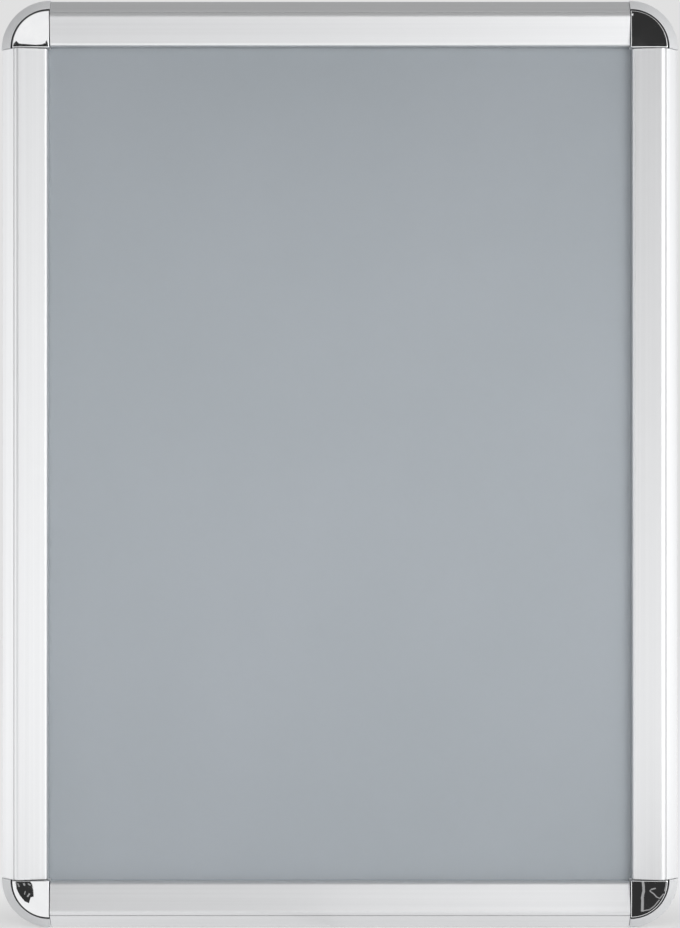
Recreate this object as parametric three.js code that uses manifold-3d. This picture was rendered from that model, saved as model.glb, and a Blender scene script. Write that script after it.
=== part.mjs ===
// Snap frame for an A2 sheet: extruded base rails, hinged clamping flaps held by bowed leaf springs,
// rounded corner pieces with chrome caps, a back panel and a clear cover sheet.
// Millimetres, +Z up. The back lies in the plane Y = 0, against the wall, and the front faces -Y.
import * as THREE from "three";
import { mergeVertices } from "three/addons/utils/BufferGeometryUtils.js";
import Module from "manifold-3d";

const wasm = await Module();
wasm.setup();

// Sheet and rail sizes
const sheetWidth = 420;
const sheetHeight = 594;
const lipOverlap = 7; // each flap covers this much of the sheet's edge
const profileWidth = 32; // outer face to the flap's lip
const profileDepth = 14; // wall to the crest of the flap
const wall = 1.3; // walls of the extrusions

// Outer bevel of a base rail
const outerEdge = 4.2; // height of the upright outer face
const bevelCrown = 0.3;
const bevelNose = 0.15; // blunt edge where the bevel meets the seam

// Knuckle hinge: a bead on the base rail inside a claw on the flap
const hingeInset = 12.3; // outer face to the hinge axis
const beadRadius = 2.2;
const stemWidth = 1;
const hingeGap = 0.25;
const clawWall = 1.1;
const seamGap = 0.15; // between the claw and the bevel
const stopGap = 0.05; // left between the open flap and the bevel
const openDegrees = 90;

// Flap
const plateWall = 1.3;
const faceSlopeDegrees = 8; // the face falls towards the picture
const lipRadius = 2.2;
const finWidth = 1.2; // the fin under the claw carries the springs
const finReach = 5.5; // hinge axis to the tip of the fin
const notchDepth = 0.15;

// Panel, cover sheet and their seat
const panelThickness = 2;
const coverThickness = 0.5;
const panelMargin = 3.5; // the panel is larger than the sheet by this on each side
const fitGap = 0.3;
const backLedge = 0.5; // the back flange runs past the sheet's edge by this
const ledgeTaper = 2;
const ledgeTip = 0.7;
const hookHeight = 1.2;

// Leaf springs
const springThickness = 0.4;
const springLength = 45;
const springBow = 0.9;
const shortSideSpringCount = 2;
const longSideSpringCount = 3;

// Wall fixing holes in the side rails
const fixingHoleDiameter = 4.5;
const fixingSpacing = 380;

// Corner pieces
const cornerOverrun = 1.5; // the corner block runs past the flap's lip by this
const cornerProud = 0.7; // and stands out of the rails by this
const cornerWall = 2;
const rimEdge = 4.6; // height of the rim's upright face
const rimTop = 11.8;
const rimCrown = 0.3;
const rimCrest = 0.8; // flat top of the rim beside the groove
const platformTop = 9.6;
const railGap = 0.3; // between a corner and the rail's end
const flapGap = 0.5; // between a corner and the flap's end
const legLength = 28;

// Chrome caps on the corners
const capRadius = 25.4;
const capWall = 1.5;
const capGroove = 1;
const capHeight = 14.6; // wall to the top of the dome
const capDomeDrop = 1.5; // fall of the dome at the rim of its revolve
const capPinRadius = 2;
const capPinLength = 3.2;
const capPinSpacing = 10; // between the two pins, along the corner's diagonal

// Countersunk screws that hold the corner legs in the rails
const screwHeadRadius = 2.7;
const screwHeadHeight = 1.4;
const screwRadius = 1.3;
const screwLength = 4.8;
const screwTip = 0.8;
const screwGap = 0.2;

// Facets, and how far cuts run past the faces that they open
const arcStep = THREE.MathUtils.degToRad(12);
const bowSteps = 8;
const turnSegments = 72;
const holeSegments = 20;
const screwSegments = 16;
const overcut = 1;

// Places that follow from the sizes
// In a section, u runs inward from the outer face and w forward from the wall.
const sheetInset = profileWidth - lipOverlap;
const frameWidth = sheetWidth + 2 * sheetInset;
const frameHeight = sheetHeight + 2 * sheetInset;

const panelBack = wall + fitGap;
const panelFront = panelBack + panelThickness;
const coverBack = panelFront + fitGap;
const coverFront = coverBack + coverThickness;
const lipFoot = coverFront + fitGap;
const slotBack = sheetInset - panelMargin - fitGap;
const slotTop = panelFront + fitGap;
const ribOuter = slotBack - wall;
const flangeTop = slotTop + wall;
const flangeEnd = sheetInset - fitGap;
const hookOuter = flangeEnd - wall;
const ledgeEnd = sheetInset + backLedge;

const openAngle = THREE.MathUtils.degToRad(openDegrees);
const faceSlope = THREE.MathUtils.degToRad(faceSlopeDegrees);
const clawBore = beadRadius + hingeGap;
const clawRadius = clawBore + clawWall;
const seamRadius = clawRadius + seamGap;
const hinge = new THREE.Vector2(hingeInset, profileDepth - clawRadius);
const stemShadow = Math.asin((stemWidth / 2 + hingeGap) / clawBore);
const skirtAngle = 1.5 * Math.PI - stemShadow - openAngle;
const finAngle = stemShadow - Math.PI / 2 + Math.asin(finWidth / 2 / clawBore);
const openFace = Math.PI / 2 - faceSlope + openAngle; // the way the open flap's face looks
const noseAngle = openFace - Math.acos((clawRadius + stopGap) / seamRadius);

const chamberWall = hinge.x - seamRadius; // face of the chamber's inner wall
const chamberEnd = chamberWall - wall;
const bevelStart = new THREE.Vector2(0, outerEdge);
const seamEdge = polar(hinge, seamRadius, noseAngle);
const bevelEnd = polar(seamEdge, bevelNose, noseAngle);

const cornerBlock = profileWidth + cornerOverrun;
const rimRadius = cornerBlock + cornerProud;
const grooveRadius = capRadius + capGroove;
const screwInset = (wall + chamberEnd) / 2;
const screwReach = cornerBlock + railGap + legLength / 2;

// Materials
const finishes = {
  aluminium: { color: 0xd6d7d9, roughness: 0.38, metalness: 1 },
  chrome: { color: 0xe9eaec, roughness: 0.05, metalness: 1 },
  silverPlastic: { color: 0xc9cbcd, roughness: 0.42, metalness: 0.3 },
  springSteel: { color: 0xb4b6b8, roughness: 0.3, metalness: 1 },
  zincSteel: { color: 0xc2c3c1, roughness: 0.35, metalness: 1 },
  panelPlastic: { color: 0xa4a9af, roughness: 0.6, metalness: 0 },
  clearPlastic: { color: 0xe4e8ea, roughness: 0.35, metalness: 0, transparent: true, opacity: 0.3 },
};
const materials = {};
for (const [name, look] of Object.entries(finishes)) materials[name] = new THREE.MeshStandardMaterial(look);

// Section helpers
function polar(centre, radius, angle) {
  return new THREE.Vector2(centre.x + radius * Math.cos(angle), centre.y + radius * Math.sin(angle));
}

function arc(centre, radius, from, to) {
  const steps = Math.max(2, Math.ceil(Math.abs(to - from) / arcStep));
  const points = [];
  for (let i = 0; i <= steps; i++) points.push(polar(centre, radius, from + ((to - from) * i) / steps));
  return points;
}

// Points from one end to the other on a circle that rises to the left of the line between them.
function bow(from, to, rise) {
  const along = to.clone().sub(from);
  const half = 2 * Math.atan2(2 * Math.abs(rise), along.length());
  const radius = along.length() / (2 * Math.sin(half));
  along.normalize();
  const left = new THREE.Vector2(-along.y, along.x).multiplyScalar(Math.sign(rise));
  const middle = from.clone().add(to).multiplyScalar(0.5);
  const points = [];
  for (let i = 0; i <= bowSteps; i++) {
    const angle = half * ((2 * i) / bowSteps - 1);
    const point = middle.clone().addScaledVector(along, radius * Math.sin(angle));
    points.push(point.addScaledVector(left, radius * (Math.cos(angle) - Math.cos(half))));
  }
  return points;
}

function at(u, w) {
  return new THREE.Vector2(u, w);
}

function prism(outline, length, holes = []) {
  const shape = new THREE.Shape(outline);
  for (const hole of holes) shape.holes.push(new THREE.Path(hole));
  return new THREE.ExtrudeGeometry(shape, { depth: length, bevelEnabled: false });
}

// Boolean helpers
function solid(geometry) {
  const bare = geometry.clone();
  bare.deleteAttribute("normal");
  bare.deleteAttribute("uv");
  const merged = mergeVertices(bare, 1e-4);
  const vertProperties = new Float32Array(merged.attributes.position.array);
  const triVerts = new Uint32Array(merged.index.array);
  return new wasm.Manifold(new wasm.Mesh({ numProp: 3, vertProperties, triVerts }));
}

function surface(body) {
  const mesh = body.getMesh();
  const geometry = new THREE.BufferGeometry();
  geometry.setAttribute("position", new THREE.BufferAttribute(mesh.vertProperties, 3));
  geometry.setIndex(new THREE.BufferAttribute(mesh.triVerts, 1));
  return geometry;
}

function block(low, high) {
  const size = high.clone().sub(low);
  const middle = low.clone().add(high).multiplyScalar(0.5);
  return solid(new THREE.BoxGeometry(size.x, size.y, size.z).translate(middle.x, middle.y, middle.z));
}

// A round pin, or the tool for a round hole, standing between two heights.
function rod(radius, low, high) {
  const geometry = new THREE.CylinderGeometry(radius, radius, high - low, holeSegments);
  return solid(geometry.translate(0, (low + high) / 2, 0));
}

function revolve(profile) {
  return solid(new THREE.LatheGeometry(profile, turnSegments));
}

// Base rail: floor, chamber under the bevel, hinge bead on its stem, and the slotted seat of the panel
function bevelUnderside(u, gap) {
  const along = bevelEnd.clone().sub(bevelStart);
  const rise = along.y / along.x;
  return bevelStart.y + rise * u - gap * Math.hypot(1, rise);
}

function chamberOutline(gap) {
  const left = wall + gap;
  const right = chamberEnd - gap;
  return [
    at(left, left),
    at(right, left),
    at(right, bevelUnderside(right, wall + gap)),
    at(left, bevelUnderside(left, wall + gap)),
  ];
}

function baseOutline() {
  const stemSide = Math.asin(stemWidth / 2 / beadRadius);
  return [
    at(0, 0),
    at(ledgeEnd, 0),
    at(ledgeEnd, ledgeTip),
    at(ledgeEnd - ledgeTaper, wall),
    at(slotBack, wall),
    at(slotBack, slotTop),
    at(flangeEnd, slotTop),
    at(flangeEnd, flangeTop + hookHeight),
    at(hookOuter, flangeTop + hookHeight),
    at(hookOuter, flangeTop),
    at(ribOuter, flangeTop),
    at(ribOuter, wall),
    at(hinge.x + stemWidth / 2, wall),
    ...arc(hinge, beadRadius, stemSide - Math.PI / 2, 1.5 * Math.PI - stemSide),
    at(hinge.x - stemWidth / 2, wall),
    at(chamberWall, wall),
    ...arc(hinge, seamRadius, Math.PI, noseAngle),
    ...bow(bevelEnd, bevelStart, -bevelCrown),
  ];
}

function screwProfile(gap) {
  const start = gap > 0 ? -overcut : 0;
  return [
    at(0, start),
    at(screwHeadRadius + gap, start),
    at(screwHeadRadius + gap, 0),
    at(screwRadius + gap, screwHeadHeight),
    at(screwRadius + gap, screwLength - screwTip),
    at(gap, screwLength + gap),
    at(0, screwLength + gap),
  ];
}

// A screw, or its hole when a gap is given, standing on the wall plane at a place along a rail.
function screwAt(u, along, gap) {
  const points = screwProfile(gap).filter((p, i, all) => i === 0 || p.distanceTo(all[i - 1]) > 1e-6);
  return new THREE.LatheGeometry(points, screwSegments).translate(u, 0, along);
}

function baseRail(length, fixingHoles) {
  let rail = solid(prism(baseOutline(), length, [chamberOutline(0)]));
  const screwPlace = screwReach - cornerBlock - railGap;
  for (const along of [screwPlace, length - screwPlace]) {
    rail = rail.subtract(solid(screwAt(screwInset, along, screwGap)));
  }
  const holeInset = (hinge.x + ribOuter) / 2;
  for (const along of fixingHoles) {
    const hole = rod(fixingHoleDiameter / 2, -overcut, wall + overcut);
    rail = rail.subtract(hole.translate(holeInset, 0, along));
  }
  return surface(rail);
}

// Flap: claw round the bead, sloping face plate, rounded lip and the notched fin that the springs push
function flapOutline() {
  const faceStart = Math.PI / 2 - faceSlope;
  const crest = polar(hinge, clawRadius, faceStart);
  const faceAt = (u) => crest.y - (u - crest.x) * Math.tan(faceSlope);
  const lipInner = profileWidth - plateWall;
  const lipCentre = at(profileWidth - lipRadius, 0);
  lipCentre.y = faceAt(lipCentre.x) - lipRadius / Math.cos(faceSlope);
  const footCentre = at(profileWidth - plateWall / 2, lipFoot + plateWall / 2);
  const plateMeets = faceStart - Math.acos((clawRadius - plateWall) / clawRadius);
  const finOut = at(Math.cos(finAngle), Math.sin(finAngle));
  const finAside = at(-finOut.y, finOut.x);
  const fin = (reach, aside) => {
    return hinge.clone().addScaledVector(finOut, reach).addScaledVector(finAside, aside);
  };
  return [
    ...arc(hinge, clawRadius, skirtAngle, faceStart),
    ...arc(lipCentre, lipRadius, faceStart, 0),
    ...arc(footCentre, plateWall / 2, 0, -Math.PI),
    at(lipInner, faceAt(lipInner) - plateWall / Math.cos(faceSlope)),
    ...arc(hinge, clawRadius, plateMeets, finAngle + Math.asin(finWidth / 2 / clawRadius)),
    fin(finReach, finWidth / 2),
    fin(finReach - notchDepth, 0),
    fin(finReach, -finWidth / 2),
    ...arc(hinge, clawBore, finAngle - Math.asin(finWidth / 2 / clawBore), skirtAngle),
  ];
}

// Leaf spring: a bowed strip from the fin's notch to the hook on the base rail.
function springOutline() {
  const half = springThickness / 2;
  const seat = fitGap + half;
  const flapEnd = polar(hinge, finReach - notchDepth + seat, finAngle);
  const baseEnd = at(hookOuter - seat, flangeTop + seat);
  const middle = bow(flapEnd, baseEnd, springBow);
  const across = (i) => {
    const before = middle[Math.max(0, i - 1)];
    const along = middle[Math.min(bowSteps, i + 1)].clone().sub(before).normalize();
    return at(-along.y, along.x);
  };
  const offset = (side) => middle.map((p, i) => p.clone().addScaledVector(across(i), side));
  return [...offset(-half), ...offset(half).reverse()];
}

// Corner body: rim and platform turned about the picture's corner, hollow behind, with a leg into each rail.
// Its own frame has x along the lower rail, y forward from the wall and -z along the side rail.
const cornerCentre = new THREE.Vector3(cornerBlock, 0, -cornerBlock);

function turned(profile) {
  return revolve(profile).translate(cornerCentre.x, cornerCentre.y, cornerCentre.z);
}

// The quarter of a corner on the outer side of both rail ends, drawn in by an inset.
function quarter(inset) {
  const far = 2 * rimRadius;
  return block(
    new THREE.Vector3(-far, -far, inset - cornerBlock),
    new THREE.Vector3(cornerBlock - inset, far, far),
  );
}

function rimProfile() {
  return [
    at(0, 0),
    at(rimRadius, 0),
    ...bow(at(rimRadius, rimEdge), at(grooveRadius + rimCrest, rimTop), -rimCrown),
    at(grooveRadius, rimTop - rimCrest / 2),
    at(grooveRadius, platformTop),
    at(0, platformTop),
  ];
}

function cavityProfile() {
  const slope = (rimTop - rimEdge) / (rimRadius - grooveRadius - rimCrest);
  const outer = rimRadius - cornerWall;
  const ceiling = platformTop - cornerWall;
  const shoulder = rimEdge + slope * cornerWall - cornerWall * Math.hypot(1, slope);
  const top = outer - (ceiling - shoulder) / slope;
  return [at(0, -overcut), at(outer, -overcut), at(outer, shoulder), at(top, ceiling), at(0, ceiling)];
}

// The two pins of a cap lie on the corner's diagonal, either side of the middle of the cap.
function pinPlaces() {
  const middle = capRadius / 2;
  return [middle - capPinSpacing / 2, middle + capPinSpacing / 2].map((reach) => {
    const step = reach * Math.SQRT1_2;
    return new THREE.Vector3(cornerCentre.x - step, 0, cornerCentre.z + step);
  });
}

function cornerBody() {
  const ceiling = platformTop - cornerWall / 2;
  const past = cornerBlock + overcut;
  let body = turned(rimProfile()).intersect(quarter(0));
  body = body.subtract(turned(cavityProfile()).intersect(quarter(cornerWall)));
  // The rib and the shelf carry the rails' slot round the corner of the panel.
  const rib = block(
    new THREE.Vector3(ribOuter, 0, -cornerBlock),
    new THREE.Vector3(cornerBlock, ceiling, -ribOuter),
  );
  const inside = block(
    new THREE.Vector3(slotBack, wall, -past),
    new THREE.Vector3(past, ceiling + overcut, -slotBack),
  );
  const window = block(
    new THREE.Vector3(ledgeEnd, -overcut, -past),
    new THREE.Vector3(past, ceiling + overcut, -ledgeEnd),
  );
  const slot = block(
    new THREE.Vector3(slotBack, wall, -past),
    new THREE.Vector3(past, lipFoot, -slotBack),
  );
  body = body.add(rib.subtract(inside).subtract(window)).subtract(slot);
  // Legs, each with the hole of its screw
  const leg = () => prism(chamberOutline(fitGap), legLength + cornerWall);
  const across = solid(leg().rotateY(Math.PI / 2).translate(cornerBlock - cornerWall, 0, 0));
  const upright = solid(leg().translate(0, 0, -cornerBlock - legLength));
  body = body.add(across).add(upright);
  for (const hole of screwPair(screwGap)) body = body.subtract(solid(hole));
  for (const place of pinPlaces()) {
    const hole = rod(capPinRadius + fitGap, platformTop - cornerWall - overcut, platformTop + overcut);
    body = body.subtract(hole.translate(place.x, 0, place.z));
  }
  return surface(body);
}

// The screws of a corner's two legs, or their holes, in the corner's own frame.
function screwPair(gap) {
  return [
    screwAt(screwInset, screwReach, gap).rotateY(Math.PI / 2),
    screwAt(screwInset, -screwReach, gap),
  ];
}

// Chrome cap: a shallow dome, turned about the middle of the quarter disc and trimmed to it, on two pins.
function cornerCap() {
  const foot = platformTop + fitGap;
  const middle = (capRadius / 2) * Math.SQRT1_2;
  const domeAxis = cornerCentre.clone().add(new THREE.Vector3(-middle, 0, middle));
  const domeReach = capRadius;
  const shoulder = capHeight - capDomeDrop;
  const ceiling = shoulder - capWall;
  const dome = [
    at(0, foot),
    at(domeReach, foot),
    ...bow(at(domeReach, shoulder), at(0, capHeight), -capDomeDrop / 4),
  ];
  // The round edge is chamfered at 45 degrees where it meets the dome.
  const disc = [at(0, foot), at(capRadius, foot), at(capRadius, shoulder), at(0, shoulder + capRadius)];
  const inner = capRadius - capWall;
  const pocket = [at(0, foot - overcut), at(inner, foot - overcut), at(inner, ceiling), at(0, ceiling)];
  let cap = revolve(dome).translate(domeAxis.x, 0, domeAxis.z);
  cap = cap.intersect(turned(disc)).intersect(quarter(0));
  cap = cap.subtract(turned(pocket).intersect(quarter(capWall)));
  for (const place of pinPlaces()) {
    const pin = rod(capPinRadius, foot - capPinLength, ceiling + capWall / 2);
    cap = cap.add(pin.translate(place.x, 0, place.z));
  }
  return surface(cap);
}

// Assembly
const frame = new THREE.Group();
frame.name = "snap_frame";

function piece(name, geometry, material, parent) {
  const mesh = new THREE.Mesh(geometry, materials[material]);
  mesh.name = name;
  parent.add(mesh);
  return mesh;
}

// A group whose x runs inward, y forward and z along a side of the frame, from a start near its corner.
function sideGroup(turn, width, reach, start) {
  const side = new THREE.Group();
  side.rotation.y = turn;
  const rail = new THREE.Group();
  const axes = new THREE.Matrix4().makeBasis(
    new THREE.Vector3(0, 0, 1),
    new THREE.Vector3(0, -1, 0),
    new THREE.Vector3(1, 0, 0),
  );
  rail.quaternion.setFromRotationMatrix(axes);
  rail.position.set(start - width / 2, 0, -reach / 2);
  side.add(rail);
  frame.add(side);
  return rail;
}

const shortSide = { width: frameWidth, reach: frameHeight, springs: shortSideSpringCount, fixed: false };
const longSide = { width: frameHeight, reach: frameWidth, springs: longSideSpringCount, fixed: true };
const sides = [
  { name: "bottom", turn: 0, ...shortSide },
  { name: "left", turn: Math.PI / 2, ...longSide },
  { name: "top", turn: Math.PI, ...shortSide },
  { name: "right", turn: -Math.PI / 2, ...longSide },
];

for (const { name, turn, width, reach, springs, fixed } of sides) {
  const railStart = cornerBlock + railGap;
  const railLength = width - 2 * railStart;
  const rail = sideGroup(turn, width, reach, railStart);
  const holes = fixed ? [(railLength - fixingSpacing) / 2, (railLength + fixingSpacing) / 2] : [];
  piece(`${name}_base_rail`, baseRail(railLength, holes), "aluminium", rail);
  for (let i = 0; i < springs; i++) {
    const strip = prism(springOutline(), springLength);
    const spring = piece(`${name}_spring_${i + 1}`, strip, "springSteel", rail);
    spring.position.z = ((i + 0.5) * railLength) / springs - springLength / 2;
  }
  const flapStart = cornerBlock + flapGap;
  const flap = sideGroup(turn, width, reach, flapStart);
  piece(`${name}_flap`, prism(flapOutline(), width - 2 * flapStart), "aluminium", flap);
}

const corners = [
  { name: "bottom_left", turn: 0, x: -1, z: -1 },
  { name: "top_left", turn: Math.PI / 2, x: -1, z: 1 },
  { name: "top_right", turn: Math.PI, x: 1, z: 1 },
  { name: "bottom_right", turn: -Math.PI / 2, x: 1, z: -1 },
];

for (const { name, turn, x, z } of corners) {
  const corner = new THREE.Group();
  corner.position.set((x * frameWidth) / 2, 0, (z * frameHeight) / 2);
  corner.rotation.y = turn;
  const upright = new THREE.Group();
  upright.rotation.x = Math.PI;
  corner.add(upright);
  frame.add(corner);
  piece(`${name}_corner_body`, cornerBody(), "silverPlastic", upright);
  piece(`${name}_corner_cap`, cornerCap(), "chrome", upright);
  screwPair(0).forEach((screw, i) => piece(`${name}_screw_${i + 1}`, screw, "zincSteel", upright));
}

function sheet(name, margin, back, thickness, material) {
  const plate = new THREE.BoxGeometry(sheetWidth + 2 * margin, thickness, sheetHeight + 2 * margin);
  piece(name, plate, material, frame).position.y = -(back + thickness / 2);
}

sheet("back_panel", panelMargin, panelBack, panelThickness, "panelPlastic");
sheet("cover_sheet", 0, coverBack, coverThickness, "clearPlastic");

export default frame;
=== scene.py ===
"""Looks of the snap frame: satin rails and flaps, chrome caps, springs, screws, panel and cover."""
import math

import bmesh
import bpy
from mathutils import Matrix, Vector


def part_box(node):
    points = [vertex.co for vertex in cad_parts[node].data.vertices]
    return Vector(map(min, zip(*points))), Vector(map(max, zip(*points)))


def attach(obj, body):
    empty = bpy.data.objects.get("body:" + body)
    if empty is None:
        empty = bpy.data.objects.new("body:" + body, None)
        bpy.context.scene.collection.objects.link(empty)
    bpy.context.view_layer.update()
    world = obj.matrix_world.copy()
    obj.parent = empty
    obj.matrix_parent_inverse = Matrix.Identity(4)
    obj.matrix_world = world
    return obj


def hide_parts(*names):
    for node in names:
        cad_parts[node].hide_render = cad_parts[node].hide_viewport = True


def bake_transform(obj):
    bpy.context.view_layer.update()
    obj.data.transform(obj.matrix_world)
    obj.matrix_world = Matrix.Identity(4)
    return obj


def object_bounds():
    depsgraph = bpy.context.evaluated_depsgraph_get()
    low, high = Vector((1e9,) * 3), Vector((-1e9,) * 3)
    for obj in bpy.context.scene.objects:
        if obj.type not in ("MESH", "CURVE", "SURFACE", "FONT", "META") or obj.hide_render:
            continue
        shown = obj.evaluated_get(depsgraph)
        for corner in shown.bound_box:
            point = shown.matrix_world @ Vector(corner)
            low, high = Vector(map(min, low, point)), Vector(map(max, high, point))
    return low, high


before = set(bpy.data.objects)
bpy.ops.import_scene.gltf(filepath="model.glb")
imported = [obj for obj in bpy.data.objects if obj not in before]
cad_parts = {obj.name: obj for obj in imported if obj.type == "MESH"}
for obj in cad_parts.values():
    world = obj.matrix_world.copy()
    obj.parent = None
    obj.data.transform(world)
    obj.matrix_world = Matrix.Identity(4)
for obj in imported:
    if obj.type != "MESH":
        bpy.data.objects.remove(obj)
cad_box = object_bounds()
floor_z = cad_box[0].z

MM = 0.001
SIDES = {"bottom": "X", "left": "Z", "top": "X", "right": "Z"}  # and the axis that each runs along
CORNERS = ("bottom_left", "top_left", "top_right", "bottom_right")

# Clean-up and rounding of the CAD nodes, in millimetres and degrees
RAIL_EDGE = 0.05
FLAP_EDGE = 0.06
CORNER_EDGE = 0.2
PANEL_EDGE = 0.2
COVER_EDGE = 0.1
EDGE_SEGMENTS = 2
EDGE_DEGREES = 28
FLAT_DEGREES = 1
WELD_REACH = 0.001
SHARP_DEGREES = 30

# Chrome cap and the groove round it, in millimetres, heights from the wall plane
CAP_FOOT = 9.9
GROOVE_FLOOR = 9.6
GROOVE_WIDTH = 1.0
PAINTED_SHADE_MARGIN = 0.5  # painted shade reaches this far from the groove onto the rim, where the silver colour starts
PAINTED_SHADE_FADE = 0.1
CAP_DOME_DROP = 1.5
CAP_EDGE = 0.4
CAP_EDGE_STEPS = 6
CAP_ARC_STEPS = 36
CAP_SIDE_STEPS = 12
CAP_DOME_STEPS = 14
CAP_PIN_RADIUS = 2.0
CAP_PIN_SPACING = 10.0
CAP_PIN_CHAMFER = 0.4
CAP_PIN_STEPS = 24

# Leaf spring, in millimetres
SPRING_THICKNESS = 0.4
SPRING_CORNER = 1.5
SPRING_EDGE = 0.08
SPRING_STEPS = 24

# Countersunk screw with a cross recess, in millimetres
SCREW_HEAD_HEIGHT = 1.4
SCREW_HEAD_EDGE = 0.15
SCREW_SHAFT_RADIUS = 1.3
SCREW_TIP = 0.8
SCREW_TIP_RADIUS = 0.1625
CROSS_REACH = 1.6
CROSS_HALF_WIDTH = 0.35
CROSS_DEPTH = 1.0
CROSS_TAPER = 0.6
CROSS_CORNERS = 12
RIM_SHARE = 3  # points of the head's rim for each corner of the cross

# Camera, with lengths in metres and the picture in pixels
CAMERA_DISTANCE = 1.45
CAMERA_SENSOR = 24.0
CAMERA_CLIP = 50
PICTURE_HEIGHT = 928
FRAME_PIXELS = 926.4
EDGE_FORWARD = 4.6 * MM

# Stage and light, in metres, where a level of 1 is white
BACKDROP = 0.75
FLOOR_HALF = 4
FLOOR_COLOUR = 0.8
FLOOR_ROUGHNESS = 0.9
FLOOR_PAINTED_SHADOW = 0.88  # glow of the floor under the frame, dimmed as a painted shadow, rising to that of the open floor
FLOOR_OPEN = 1.3
FLOOR_PAINTED_SHADOW_REACH = 0.02
FLOOR_OPEN_REACH = 0.12
FLOOR_STRETCH = (0.15, 1.0, 0.0)  # that reach is longer along the frame than across it
FLOOR_FADE = (0.5, 2.5)  # the floor runs into the backdrop between these distances
FLOOR_SHARES = {"Is Camera Ray": 0.45, "Is Glossy Ray": 0.9, "Is Transmission Ray": 0.9}
BACKDROP_SHARES = {"Is Camera Ray": 1.0, "Is Transmission Ray": 1.0}
CEILING = 0.4
CEILING_START = 0.6  # height of a direction, from 0 level to 1 straight up
KEY = 3.6
KEY_PLACE = (1.47, -1.64, 0.06)
KEY_SIZE = (0.8, 0.75)
TABLE = 1.3
TABLE_PLACE = (0, -0.7, 0.3)
TABLE_SIZE = (1.5, 0.65)

# Levels of the studio's walls, by degrees to the right of the front
WALLS = (
    (-180, 0.75),
    (-110, 0.75),
    (-95, 1.7),
    (-60, 1.7),
    (-42, 0.1),
    (-10, 0.1),
    (28, 2.6),
    (48, 2.6),
    (60, 1.55),
    (95, 1.55),
    (110, 0.75),
    (180, 0.75),
)

# Cards that the chrome caps mirror: upright ones for the upper caps, flat ones for the lower caps
CARD_DISTANCE = 1.9
CARD_LIFT = 1 * MM
UPRIGHT_LAYER = 5 * MM
FLAT_LAYER = 1 * MM
WHITE = 1.0
GREY = 0.4
DARK = 0.034

# What the cards show, drawn in millimetres on each cap from its inner corner
WHOLE_CAP = ((-0.6, -0.6), (26, -0.6), (25, 8), (19, 19), (8, 25), (-0.6, 26))
STRIP = (
    (25, 0), (24.4, 2.4), (22.7, 4.4), (20.3, 2.4), (13.3, 1.8), (9, 1.5),
    (4.7, 1.8), (2.5, 3), (1.4, 4.8), (0.7, 3), (0.6, 0), (10, 0.4),
)
PATCH = (
    (23, 0), (12.9, 0.2), (11.4, 2.4), (10.3, 9.3), (10.5, 10.9),
    (12.5, 11.3), (13.7, 15.4), (16.6, 14.2), (20.2, 9.8), (22.4, 5.4),
)

# Lines of light on the cards, each with its width
GLINTS = (
    (((17.4, 1.6), (16.6, 3.2)), 1.2),
    (((14.4, 1.8), (12.6, 3)), 0.9),
    (((21.4, 1.8), (20.4, 4.2)), 0.7),
    (((13.2, 8.6), (14.8, 11)), 1.1),
    (((16.2, 7), (16.8, 9.4)), 0.6),
)
STREAKS = (
    (((8, -0.5), (8.5, 4), (8.6, 7.5), (7.8, 11), (7.7, 21.2)), 1.8),
    (((7.7, 20.8), (12.7, 19.9), (15.7, 17.7), (19.6, 13)), 0.7),
    (((17, 5.1), (14, 5.8), (13, 7), (15.7, 9), (17.4, 11), (19.8, 12.1), (22.5, 9)), 0.8),
    (((24.4, 0.5), (24.1, 4), (23.2, 7.3)), 0.9),
)
EDGE_GLINT = (((0.9, 21.8), (0.9, 23)), 1.2)


# Shape of a cap
class Cap:
    """Where a corner's chrome cap is and how it curves, in millimetres from its inner corner."""

    def __init__(self, corner):
        low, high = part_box(corner + "_corner_cap")
        self.side = -1 if "left" in corner else 1
        self.level = -1 if "bottom" in corner else 1
        self.centre_x = high.x if self.side < 0 else low.x
        self.centre_z = high.z if self.level < 0 else low.z
        self.radius = (high.x - low.x) / MM
        self.top = -low.y / MM
        self.pin_end = -high.y / MM
        self.axis = self.radius / 2 * math.sqrt(0.5)

    def place(self, a, b, forward):
        across = self.centre_x + self.side * a * MM
        up = self.centre_z + self.level * b * MM
        return Vector((across, -forward * MM, up))

    def dome(self, a, b):
        away = (a - self.axis) ** 2 + (b - self.axis) ** 2
        return self.top - CAP_DOME_DROP * away / self.radius ** 2

    def dome_normal(self, a, b):
        fall = 2 * CAP_DOME_DROP / self.radius ** 2
        across = self.side * fall * (a - self.axis)
        up = self.level * fall * (b - self.axis)
        return Vector((across, -1, up)).normalized()

    def outline(self, inset):
        """The quarter disc drawn in by an inset: along one straight edge, round the arc and back."""
        outer = self.radius - inset
        reach = math.sqrt(outer ** 2 - inset ** 2)
        first = math.asin(inset / outer)
        sweep = math.pi / 2 - 2 * first
        turns = [first + sweep * i / CAP_ARC_STEPS for i in range(CAP_ARC_STEPS + 1)]
        straight = [inset + (reach - inset) * i / CAP_SIDE_STEPS for i in range(CAP_SIDE_STEPS)]
        points = [(a, inset) for a in straight]
        points += [(outer * math.cos(t), outer * math.sin(t)) for t in turns]
        points += [(inset, b) for b in reversed(straight[1:])]
        return points


# Shader helpers
def new_material(name):
    material = bpy.data.materials.new(name)
    material.use_nodes = True
    tree = material.node_tree
    shader = tree.nodes["Principled BSDF"]
    return material, tree, shader


def node(tree, kind, settings=None, **inputs):
    made = tree.nodes.new(kind)
    for key, value in (settings or {}).items():
        setattr(made, key, value)
    for key, value in inputs.items():
        made.inputs[key.replace("_", " ")].default_value = value
    return made


def vector_math(tree, operation, source, other=None):
    """A sum on a vector, with a fixed second vector where it takes one."""
    made = node(tree, "ShaderNodeVectorMath", {"operation": operation})
    tree.links.new(source, made.inputs[0])
    if other:
        made.inputs[1].default_value = other
    return made.outputs["Value" if operation == "LENGTH" else "Vector"]


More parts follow.
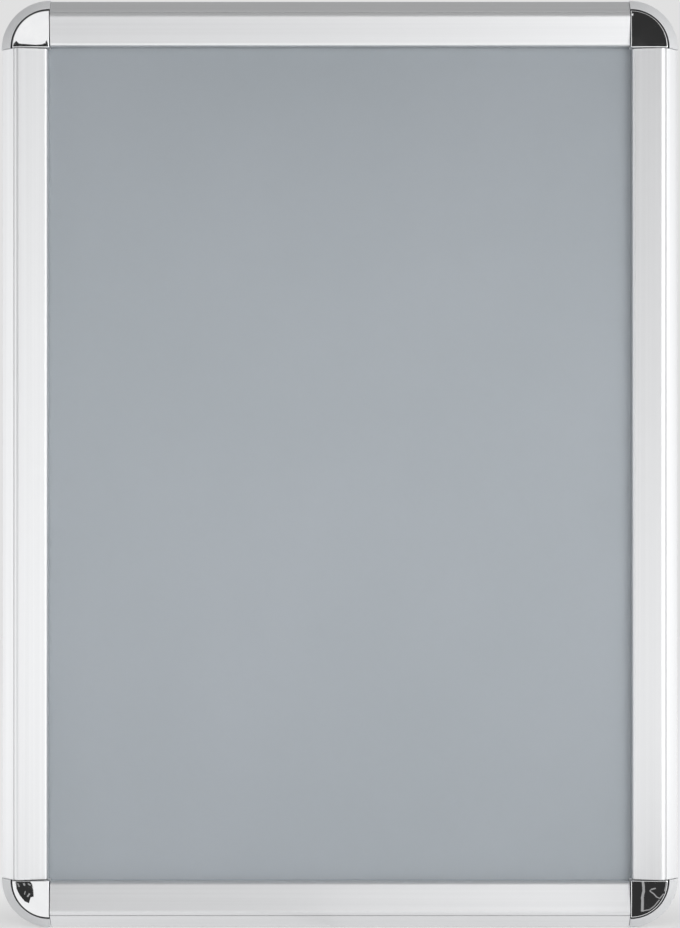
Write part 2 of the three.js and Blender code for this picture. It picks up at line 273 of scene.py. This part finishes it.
def number_math(tree, operation, first, second):
    """A sum on two numbers of the tree."""
    made = node(tree, "ShaderNodeMath", {"operation": operation})
    tree.links.new(first, made.inputs[0])
    tree.links.new(second, made.inputs[1])
    return made.outputs["Value"]


def object_coordinates(tree, scale):
    """Coordinates that stay with the piece, stretched along an axis by a small scale there."""
    source = tree.nodes.new("ShaderNodeTexCoord")
    mapping = node(tree, "ShaderNodeMapping", Scale=scale)
    tree.links.new(source.outputs["Object"], mapping.inputs["Vector"])
    return mapping.outputs["Vector"]


def noise(tree, scale, detail=4.0, roughness=0.55):
    """Noise between 0 and 1, with its grain per metre given along each axis."""
    made = node(tree, "ShaderNodeTexNoise", Scale=1.0, Detail=detail, Roughness=roughness)
    tree.links.new(object_coordinates(tree, scale), made.inputs["Vector"])
    return made.outputs["Fac"]


def spread(tree, source, low, high, start=0.3, end=0.7):
    """Maps a value to a range of numbers."""
    made = node(tree, "ShaderNodeMapRange", From_Min=start, From_Max=end, To_Min=low, To_Max=high)
    tree.links.new(source, made.inputs["Value"])
    return made.outputs["Result"]


def tint(tree, source, dark, light, start=0.3, end=0.7):
    """Maps a noise value to a colour between two."""
    made = tree.nodes.new("ShaderNodeValToRGB")
    made.color_ramp.elements[0].position = start
    made.color_ramp.elements[0].color = (*dark, 1)
    made.color_ramp.elements[1].position = end
    made.color_ramp.elements[1].color = (*light, 1)
    tree.links.new(source, made.inputs["Fac"])
    return made.outputs["Color"]


def bump(tree, shader, height, distance, strength):
    made = node(tree, "ShaderNodeBump", Strength=strength, Distance=distance)
    tree.links.new(height, made.inputs["Height"])
    tree.links.new(made.outputs["Normal"], shader.inputs["Normal"])


def mix_shaders(tree, share, first, second):
    made = tree.nodes.new("ShaderNodeMixShader")
    tree.links.new(share, made.inputs["Fac"])
    tree.links.new(first, made.inputs[1])
    tree.links.new(second, made.inputs[2])
    return made.outputs["Shader"]


# Materials
def aluminium(axis):
    """Satin anodised aluminium with fine die lines along the extrusion."""
    material, tree, shader = new_material("anodised_aluminium_" + axis.lower())
    fine = (4.0, 2600.0, 2600.0) if axis == "X" else (2600.0, 2600.0, 4.0)
    broad = (1.2, 420.0, 420.0) if axis == "X" else (420.0, 420.0, 1.2)
    lines = noise(tree, fine, detail=3.0)
    bands = noise(tree, broad, detail=2.0)
    colour = tint(tree, bands, (0.80, 0.805, 0.815), (0.84, 0.845, 0.855))
    tree.links.new(colour, shader.inputs["Base Color"])
    tree.links.new(spread(tree, lines, 0.46, 0.56), shader.inputs["Roughness"])
    bump(tree, shader, lines, 0.02 * MM, strength=0.35)
    shader.inputs["Metallic"].default_value = 1.0
    shader.inputs["Anisotropic"].default_value = 0.2
    shader.inputs["Anisotropic Rotation"].default_value = 0.25
    tangent = node(tree, "ShaderNodeCombineXYZ", **{axis: 1.0})
    tree.links.new(tangent.outputs["Vector"], shader.inputs["Tangent"])
    return material


def outside_painted_groove_shade(tree):
    """1 where the corners show their silver colour, and 0 for painted shade in the groove round the caps
    and just beside it.
    """
    cap = Cap("top_right")
    source = tree.nodes.new("ShaderNodeTexCoord")
    folded = vector_math(tree, "ABSOLUTE", source.outputs["Object"])
    away = vector_math(tree, "SUBTRACT", folded, (cap.centre_x, 0, cap.centre_z))
    flat = vector_math(tree, "MULTIPLY", away, (1, 0, 1))
    reach = vector_math(tree, "LENGTH", flat)
    # the painted shade runs past the groove onto the rim by a margin
    edge = cap.radius + GROOVE_WIDTH + PAINTED_SHADE_MARGIN
    beside = spread(tree, reach, 0.0, 1.0, start=edge * MM, end=(edge + PAINTED_SHADE_FADE) * MM)
    split = tree.nodes.new("ShaderNodeSeparateXYZ")
    tree.links.new(folded, split.inputs["Vector"])
    # surfaces deeper than the groove floor get the painted shade too
    start = (GROOVE_FLOOR - 3 * PAINTED_SHADE_FADE) * MM
    end = (GROOVE_FLOOR - PAINTED_SHADE_FADE) * MM
    behind = spread(tree, split.outputs["Y"], 1.0, 0.0, start=start, end=end)
    return number_math(tree, "MAXIMUM", beside, behind)


def silver_plastic():
    """Moulded satin silver plastic, with painted shade in the groove round the caps."""
    material, tree, shader = new_material("silver_plastic")
    flakes = noise(tree, (5200.0,) * 3, detail=2.0)
    waves = noise(tree, (260.0,) * 3, detail=2.0)
    silver_tint = tint(tree, flakes, (0.725, 0.733, 0.745), (0.795, 0.803, 0.815))
    colour = node(tree, "ShaderNodeMix", {"data_type": "RGBA"})
    groove_shade_socket, silver_socket = [socket for socket in colour.inputs if socket.type == "RGBA"]
    # painted shade: near black in the groove round the caps and on the rim just beside it
    groove_shade_socket.default_value = (0.02, 0.02, 0.022, 1)
    tree.links.new(silver_tint, silver_socket)
    tree.links.new(outside_painted_groove_shade(tree), colour.inputs["Factor"])
    mixed = [socket for socket in colour.outputs if socket.type == "RGBA"][0]
    tree.links.new(mixed, shader.inputs["Base Color"])
    tree.links.new(spread(tree, flakes, 0.36, 0.48), shader.inputs["Roughness"])
    bump(tree, shader, waves, 0.04 * MM, strength=0.25)
    shader.inputs["Metallic"].default_value = 0.1
    return material


def chrome():
    """Mirror chrome plate with faint handling marks."""
    material, tree, shader = new_material("chrome")
    marks = noise(tree, (90.0,) * 3, detail=6.0, roughness=0.65)
    colour = tint(tree, marks, (0.83, 0.835, 0.845), (0.88, 0.885, 0.89))
    tree.links.new(colour, shader.inputs["Base Color"])
    gloss = spread(tree, marks, 0.02, 0.07, start=0.45, end=0.75)
    tree.links.new(gloss, shader.inputs["Roughness"])
    shader.inputs["Metallic"].default_value = 1.0
    return material


def spring_steel():
    """Bare rolled spring steel with a slight temper tint."""
    material, tree, shader = new_material("spring_steel")
    grain = noise(tree, (2600.0,) * 3, detail=3.0)
    patches = noise(tree, (55.0,) * 3, detail=3.0)
    colour = tint(tree, patches, (0.46, 0.455, 0.44), (0.58, 0.585, 0.60))
    tree.links.new(colour, shader.inputs["Base Color"])
    tree.links.new(spread(tree, grain, 0.22, 0.38), shader.inputs["Roughness"])
    bump(tree, shader, grain, 0.02 * MM, strength=0.15)
    shader.inputs["Metallic"].default_value = 1.0
    return material


def zinc_steel():
    """Zinc plated screw steel."""
    material, tree, shader = new_material("zinc_steel")
    grain = noise(tree, (1500.0,) * 3, detail=4.0)
    colour = tint(tree, grain, (0.60, 0.605, 0.58), (0.72, 0.72, 0.71))
    tree.links.new(colour, shader.inputs["Base Color"])
    tree.links.new(spread(tree, grain, 0.26, 0.40), shader.inputs["Roughness"])
    shader.inputs["Metallic"].default_value = 1.0
    return material


def grey_panel():
    """Matt grey plastic sheet with a fine grain and faint clouding."""
    material, tree, shader = new_material("grey_panel")
    clouds = noise(tree, (5.0,) * 3, detail=3.0)
    grain = noise(tree, (2400.0,) * 3, detail=3.0)
    colour = tint(tree, clouds, (0.299, 0.340, 0.376), (0.327, 0.365, 0.406))
    tree.links.new(colour, shader.inputs["Base Color"])
    tree.links.new(spread(tree, grain, 0.55, 0.70), shader.inputs["Roughness"])
    bump(tree, shader, grain, 0.02 * MM, strength=0.1)
    return material


def clear_sheet():
    """Clear sheet with a matt, anti-glare face."""
    material, tree, shader = new_material("clear_sheet")
    grain = noise(tree, (3000.0,) * 3, detail=2.0)
    colour = tint(tree, grain, (0.80, 0.83, 0.85), (0.86, 0.88, 0.90))
    tree.links.new(colour, shader.inputs["Base Color"])
    tree.links.new(spread(tree, grain, 0.42, 0.55), shader.inputs["Roughness"])
    bump(tree, shader, grain, 0.01 * MM, strength=0.1)
    shader.inputs["Alpha"].default_value = 0.12
    return material


materials = {
    "rail_x": aluminium("X"),
    "rail_z": aluminium("Z"),
    "silver": silver_plastic(),
    "chrome": chrome(),
    "spring": spring_steel(),
    "zinc": zinc_steel(),
    "panel": grey_panel(),
    "cover": clear_sheet(),
}


# Pieces
def dress(name, material, edge):
    """Gives a CAD node its material and softly rounded edges."""
    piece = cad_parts[name]
    piece.data.materials.clear()
    piece.data.materials.append(materials[material])
    piece.data.shade_smooth()
    weld = piece.modifiers.new("weld", "WELD")
    weld.merge_threshold = WELD_REACH * MM
    merge = piece.modifiers.new("merge_flats", "DECIMATE")
    merge.decimate_type = "DISSOLVE"
    merge.angle_limit = math.radians(FLAT_DEGREES)
    rounding = piece.modifiers.new("edge_rounding", "BEVEL")
    rounding.width = edge * MM
    rounding.segments = EDGE_SEGMENTS
    rounding.limit_method = "ANGLE"
    rounding.angle_limit = math.radians(EDGE_DEGREES)
    normals = piece.modifiers.new("normals", "WEIGHTED_NORMAL")
    normals.mode = "FACE_AREA_WITH_ANGLE"
    normals.keep_sharp = False


def new_piece(name, mesh, material, stands_for):
    """A piece of new mesh in place of a CAD node."""
    made = bpy.data.meshes.new(name)
    bmesh.ops.recalc_face_normals(mesh, faces=mesh.faces)
    mesh.to_mesh(made)
    mesh.free()
    made.materials.append(materials[material])
    made.shade_smooth()
    piece = bpy.data.objects.new(name, made)
    bpy.context.scene.collection.objects.link(piece)
    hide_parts(stands_for)
    return piece


def add_rings(mesh, rings, close_start=True):
    """Joins closed rings of points into a tube, closes its ends and returns its rings of vertices."""
    loops = [[mesh.verts.new(p) for p in ring] for ring in rings]
    count = len(loops[0])
    for a, b in zip(loops, loops[1:]):
        for i in range(count):
            j = (i + 1) % count
            mesh.faces.new((a[i], a[j], b[j], b[i]))
    if close_start:
        mesh.faces.new(loops[0])
    mesh.faces.new(loops[-1])
    return loops


def corner_cap(corner):
    """A mirror dome trimmed to a quarter disc, with a rolled edge, side walls and two pins behind."""
    cap = Cap(corner)
    mesh = bmesh.new()
    rings = [[cap.place(a, b, CAP_FOOT) for a, b in cap.outline(0.0)]]
    for i in range(CAP_EDGE_STEPS + 1):
        turn = math.pi / 2 * i / CAP_EDGE_STEPS
        drop = CAP_EDGE * (1 - math.sin(turn))
        spots = cap.outline(CAP_EDGE * (1 - math.cos(turn)))
        rings.append([cap.place(a, b, cap.dome(a, b) - drop) for a, b in spots])
    for i in range(1, CAP_DOME_STEPS):
        share = 1 - (i / CAP_DOME_STEPS) ** 2
        spots = [[cap.axis + (v - cap.axis) * share for v in spot] for spot in cap.outline(CAP_EDGE)]
        rings.append([cap.place(a, b, cap.dome(a, b)) for a, b in spots])
    add_rings(mesh, rings)

    sections = (
        (CAP_PIN_RADIUS, CAP_FOOT),
        (CAP_PIN_RADIUS, cap.pin_end + CAP_PIN_CHAMFER),
        (CAP_PIN_RADIUS - CAP_PIN_CHAMFER, cap.pin_end),
    )
    turns = [2 * math.pi * i / CAP_PIN_STEPS for i in range(CAP_PIN_STEPS)]
    for reach in (cap.radius / 2 - CAP_PIN_SPACING / 2, cap.radius / 2 + CAP_PIN_SPACING / 2):
        centre = reach * math.sqrt(0.5)
        rings = []
        for radius, forward in sections:
            spots = [(centre + radius * math.cos(t), centre + radius * math.sin(t)) for t in turns]
            rings.append([cap.place(a, b, forward) for a, b in spots])
        add_rings(mesh, rings)
    piece = new_piece(corner + "_chrome_cap", mesh, "chrome", corner + "_corner_cap")
    piece.data.set_sharp_from_angle(angle=math.radians(SHARP_DEGREES))
    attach(piece, "frame")


def leaf_spring(name):
    """A bowed strip with round corners, from the hook on the base rail to the fin on the flap."""
    side = name.split("_")[0]
    across = 2 if SIDES[side] == "X" else 0
    along = 2 - across
    low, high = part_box(name)
    middle = (low[along] + high[along]) / 2
    half = (high[along] - low[along]) / 2
    corner = SPRING_CORNER * MM
    thick = SPRING_THICKNESS * MM / 2
    edge = SPRING_EDGE * MM

    # The arc through the CAD spring's section, from one end to the other
    points = {(round(v.co[across], 6), round(v.co.y, 6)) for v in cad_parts[name].data.vertices}
    points = sorted(points, key=lambda p: abs(p[0]))
    hook_end = (Vector(points[0]) + Vector(points[1])) / 2
    flap_end = (Vector(points[-1]) + Vector(points[-2])) / 2
    chord = flap_end - hook_end
    rise = Vector((-chord.y, chord.x)).normalized()
    if rise.y > 0:
        rise = -rise
    bow = max((Vector(p) - hook_end).dot(rise) for p in points) - thick
    turn = 2 * math.atan2(2 * bow, chord.length)
    radius = chord.length / (2 * math.sin(turn))

    def place(spot, reach):
        at = [0.0, spot.y, 0.0]
        at[across] = spot.x
        at[along] = middle + reach
        return Vector(at)

    mesh = bmesh.new()
    rings = []
    for i in range(SPRING_STEPS + 1):
        share = (1 - math.cos(math.pi * i / SPRING_STEPS)) / 2
        angle = turn * (2 * share - 1)
        normal = rise * math.cos(angle) + chord.normalized() * math.sin(angle)
        centre = (hook_end + flap_end) / 2 + normal * radius - rise * radius * math.cos(turn)
        end = min(share, 1 - share) * 2 * turn * radius
        inset = max(corner - end, 0.0)
        reach = half - corner + math.sqrt(corner ** 2 - inset ** 2)
        ring = []
        for a, t in ((1, 1), (-1, 1), (-1, -1), (1, -1)):
            cuts = [(reach - edge, thick), (reach, thick - edge)]
            for r, h in (reversed(cuts) if a * t > 0 else cuts):
                ring.append(place(centre + normal * (t * h), a * r))
        rings.append(ring)
    add_rings(mesh, rings)
    piece = new_piece(name + "_leaf", mesh, "spring", name)
    end = tuple(place(flap_end, 0.0))
    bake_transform(piece)


def cross_screw(name):
    """A countersunk screw with its head in the wall plane and a cross recess in it."""
    low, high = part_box(name)
    centre_x = (low.x + high.x) / 2
    centre_z = (low.z + high.z) / 2
    head = (high.x - low.x) / 2 / MM
    length = (high.y - low.y) / MM
    steps = CROSS_CORNERS * RIM_SHARE

    def place(a, b, depth):
        return Vector((centre_x + a * MM, high.y - depth * MM, centre_z + b * MM))

    def ring(radius, depth):
        turns = [2 * math.pi * (i - RIM_SHARE / 2) / steps for i in range(steps)]
        return [place(radius * math.cos(t), radius * math.sin(t), depth) for t in turns]

    mesh = bmesh.new()
    sections = (
        (head - SCREW_HEAD_EDGE, 0.0),
        (head, SCREW_HEAD_EDGE),
        (SCREW_SHAFT_RADIUS, SCREW_HEAD_HEIGHT),
        (SCREW_SHAFT_RADIUS, length - SCREW_TIP),
        (SCREW_TIP_RADIUS, length),
    )
    rim = add_rings(mesh, [ring(*s) for s in sections], close_start=False)[0]
    arm = (
        (CROSS_REACH, -CROSS_HALF_WIDTH),
        (CROSS_REACH, CROSS_HALF_WIDTH),
        (CROSS_HALF_WIDTH, CROSS_HALF_WIDTH),
    )
    corners = []
    for c, s in ((1, 0), (0, 1), (-1, 0), (0, -1)):
        corners += [(a * c - b * s, a * s + b * c) for a, b in arm]
    upper = [mesh.verts.new(place(a, b, 0.0)) for a, b in corners]
    lower = [mesh.verts.new(place(a * CROSS_TAPER, b * CROSS_TAPER, CROSS_DEPTH)) for a, b in corners]
    for i in range(CROSS_CORNERS):
        j = (i + 1) % CROSS_CORNERS
        outer = [rim[(RIM_SHARE * i + k) % steps] for k in range(RIM_SHARE + 1)]
        mesh.faces.new(outer + [upper[j], upper[i]])
        mesh.faces.new((upper[i], upper[j], lower[j], lower[i]))
    mesh.faces.new(lower)
    piece = new_piece(name + "_cross_head", mesh, "zinc", name)
    piece.data.set_sharp_from_angle(angle=math.radians(SHARP_DEGREES))
    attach(piece, "frame")


for side_name, run in SIDES.items():
    dress(side_name + "_base_rail", "rail_" + run.lower(), RAIL_EDGE)
    dress(side_name + "_flap", "rail_" + run.lower(), FLAP_EDGE)
for corner_name in CORNERS:
    dress(corner_name + "_corner_body", "silver", CORNER_EDGE)
    corner_cap(corner_name)
    for number in ("1", "2"):
        cross_screw(corner_name + "_screw_" + number)
for spring_name in [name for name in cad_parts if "_spring_" in name]:
    leaf_spring(spring_name)
dress("back_panel", "panel", PANEL_EDGE)
dress("cover_sheet", "cover", COVER_EDGE)


# Stage
def stage_plane(name, corners, material):
    mesh = bpy.data.meshes.new(name)
    mesh.from_pydata(corners, [], [tuple(range(len(corners)))])
    mesh.materials.append(material)
    plane = bpy.data.objects.new(name, mesh)
    bpy.context.scene.collection.objects.link(plane)
    return plane


def ray_shares(tree, shares):
    """A share for each named kind of ray, and 0 for the others."""
    rays = tree.nodes.new("ShaderNodeLightPath")
    parts = []
    for kind, share in shares.items():
        parts.append(spread(tree, rays.outputs[kind], 0.0, share, start=0.0, end=1.0))
    total = parts[0]
    for part in parts[1:]:
        total = number_math(tree, "MAXIMUM", total, part)
    return total


def floor_material():
    """A pale matt floor with the object's soft shadow, painted darker under the frame, white in mirrors,
    that fades into the backdrop.
    """
    material, tree, shader = new_material("floor")
    shader.inputs["Base Color"].default_value = (FLOOR_COLOUR, FLOOR_COLOUR, FLOOR_COLOUR, 1)
    shader.inputs["Roughness"].default_value = FLOOR_ROUGHNESS
    reach = vector_math(tree, "LENGTH", object_coordinates(tree, FLOOR_STRETCH))
    # painted shadow: the floor glows dimmer under the frame than out in the open
    level = spread(tree, reach, FLOOR_PAINTED_SHADOW, FLOOR_OPEN, start=FLOOR_PAINTED_SHADOW_REACH, end=FLOOR_OPEN_REACH)
    glow = tree.nodes.new("ShaderNodeEmission")
    tree.links.new(level, glow.inputs["Strength"])
    shares = ray_shares(tree, FLOOR_SHARES)
    near = mix_shaders(tree, shares, shader.outputs["BSDF"], glow.outputs["Emission"])

    away = vector_math(tree, "LENGTH", object_coordinates(tree, (1.0, 1.0, 0.0)))
    fade = node(tree, "ShaderNodeMapRange", {"interpolation_type": "SMOOTHSTEP"},
                From_Min=FLOOR_FADE[0], From_Max=FLOOR_FADE[1])
    tree.links.new(away, fade.inputs["Value"])
    camera_rays = ray_shares(tree, {"Is Camera Ray": 1.0})
    seen = number_math(tree, "MULTIPLY", fade.outputs["Result"], camera_rays)
    backdrop = node(tree, "ShaderNodeEmission", Strength=BACKDROP)
    cove = mix_shaders(tree, seen, near, backdrop.outputs["Emission"])
    tree.links.new(cove, tree.nodes["Material Output"].inputs["Surface"])
    return material


def glow_material(name, strength):
    material = bpy.data.materials.new(name)
    material.use_nodes = True
    tree = material.node_tree
    tree.nodes.clear()
    glow = node(tree, "ShaderNodeEmission", Strength=strength)
    output = tree.nodes.new("ShaderNodeOutputMaterial")
    tree.links.new(glow.outputs["Emission"], output.inputs["Surface"])
    return material


def ribbon(points, width):
    """The outline of a strip along a line of points."""
    line = [Vector(p) for p in points]
    ahead = line[1:] + line[-1:]
    before = line[:1] + line[:-1]
    aside = [Vector((p.y - n.y, n.x - p.x)).normalized() * width / 2 for p, n in zip(before, ahead)]
    there = [p + s for p, s in zip(line, aside)]
    back = [p - s for p, s in zip(line, aside)]
    return there + back[::-1]


def mirror_card(corner, name, level, outline, layer=0):
    """A card that only reflections see, put where the camera sees it in a cap as an outline on that cap."""
    cap = Cap(corner)
    eye = Vector((0, -CAMERA_DISTANCE, 0))
    corners = []
    for a, b in outline:
        spot = cap.place(a, b, cap.dome(a, b))
        ray = (spot - eye).reflect(cap.dome_normal(a, b))
        if cap.level < 0:
            run = (floor_z + CARD_LIFT + layer * FLAT_LAYER - spot.z) / ray.z
        else:
            run = (layer * UPRIGHT_LAYER - CARD_DISTANCE - spot.y) / ray.y
        corners.append(spot + ray * run)
    plane = stage_plane(corner + "_" + name + "_card", corners, glow_material(name, level))
    plane.visible_camera = False
    plane.visible_diffuse = False
    plane.visible_shadow = False
    plane.visible_transmission = False


floor_corners = [(x * FLOOR_HALF, y * FLOOR_HALF, floor_z) for x, y in ((-1, -1), (1, -1), (1, 1), (-1, 1))]
stage_plane("floor", floor_corners, floor_material())
for corner_name, card_level in zip(CORNERS, (WHITE, WHITE, DARK, DARK)):
    mirror_card(corner_name, "whole", card_level, WHOLE_CAP)
mirror_card("top_left", "strip", DARK, STRIP, layer=1)
mirror_card("top_right", "glint", WHITE, ribbon(*EDGE_GLINT), layer=1)
mirror_card("bottom_left", "patch", DARK, PATCH, layer=1)
for i, glint in enumerate(GLINTS):
    mirror_card("bottom_left", f"glint_{i + 1}", GREY, ribbon(*glint), layer=2)
for i, streak in enumerate(STREAKS):
    mirror_card("bottom_right", f"streak_{i + 1}", GREY, ribbon(*streak), layer=1)


# Light
def soft_box(name, level, place, aim, size):
    """A soft box at a place, aimed at another."""
    data = bpy.data.lights.new(name, "AREA")
    data.shape = "RECTANGLE"
    data.size = size[0]
    data.size_y = size[1]
    data.energy = level * math.pi * size[0] * size[1]
    made = bpy.data.objects.new(name, data)
    made.location = place
    made.rotation_euler = (Vector(aim) - Vector(place)).to_track_quat("-Z", "Y").to_euler()
    made.visible_camera = False
    bpy.context.scene.collection.objects.link(made)
    return made


def set_world():
    """A studio with brighter and darker walls, behind a plain pale background."""
    world = bpy.data.worlds.new("studio")
    bpy.context.scene.world = world
    world.use_nodes = True
    tree = world.node_tree
    direction = tree.nodes.new("ShaderNodeTexCoord")
    turned = vector_math(tree, "MULTIPLY", direction.outputs["Generated"], (1, -1, 1))
    split = tree.nodes.new("ShaderNodeSeparateXYZ")
    tree.links.new(turned, split.inputs["Vector"])
    bearing = number_math(tree, "ARCTAN2", split.outputs["X"], split.outputs["Y"])
    share = spread(tree, bearing, 0.0, 1.0, start=-math.pi, end=math.pi)
    walls = tree.nodes.new("ShaderNodeValToRGB")
    stops = walls.color_ramp.elements
    while len(stops) < len(WALLS):
        stops.new(1.0)
    for stop, (degrees, level) in zip(stops, WALLS):
        stop.position = degrees / 360 + 0.5
        stop.color = (level, level, level, 1)
    tree.links.new(share, walls.inputs["Fac"])
    room = node(tree, "ShaderNodeMapRange", {"interpolation_type": "SMOOTHSTEP"},
                From_Min=0.0, From_Max=CEILING_START, To_Max=CEILING)
    tree.links.new(split.outputs["Z"], room.inputs["Value"])
    tree.links.new(walls.outputs["Color"], room.inputs["To Min"])
    seen = node(tree, "ShaderNodeMapRange", To_Max=BACKDROP)
    tree.links.new(ray_shares(tree, BACKDROP_SHARES), seen.inputs["Value"])
    tree.links.new(room.outputs["Result"], seen.inputs["To Min"])
    tree.links.new(seen.outputs["Result"], tree.nodes["Background"].inputs["Strength"])
    tree.nodes["Background"].inputs["Color"].default_value = (1, 1, 1, 1)


set_world()
soft_box("key", KEY, KEY_PLACE, (0, 0, 0), KEY_SIZE)
table = soft_box("table", TABLE, TABLE_PLACE, (TABLE_PLACE[0], TABLE_PLACE[1], floor_z), TABLE_SIZE)
table.visible_glossy = False


# Camera
def set_camera():
    """A level camera straight in front, with the frame filling the picture as in the photograph."""
    height = cad_box[1].z - cad_box[0].z
    shown = height * PICTURE_HEIGHT / FRAME_PIXELS
    data = bpy.data.cameras.new("camera")
    data.sensor_fit = "VERTICAL"
    data.sensor_height = CAMERA_SENSOR
    data.lens = CAMERA_SENSOR * (CAMERA_DISTANCE - EDGE_FORWARD) / shown
    data.clip_end = CAMERA_CLIP
    camera = bpy.data.objects.new("camera", data)
    camera.location = (0, -CAMERA_DISTANCE, 0)
    camera.rotation_euler = (math.pi / 2, 0, 0)
    bpy.context.scene.collection.objects.link(camera)
    bpy.context.scene.camera = camera


set_camera()
bpy.context.scene.view_settings.view_transform = "Standard"
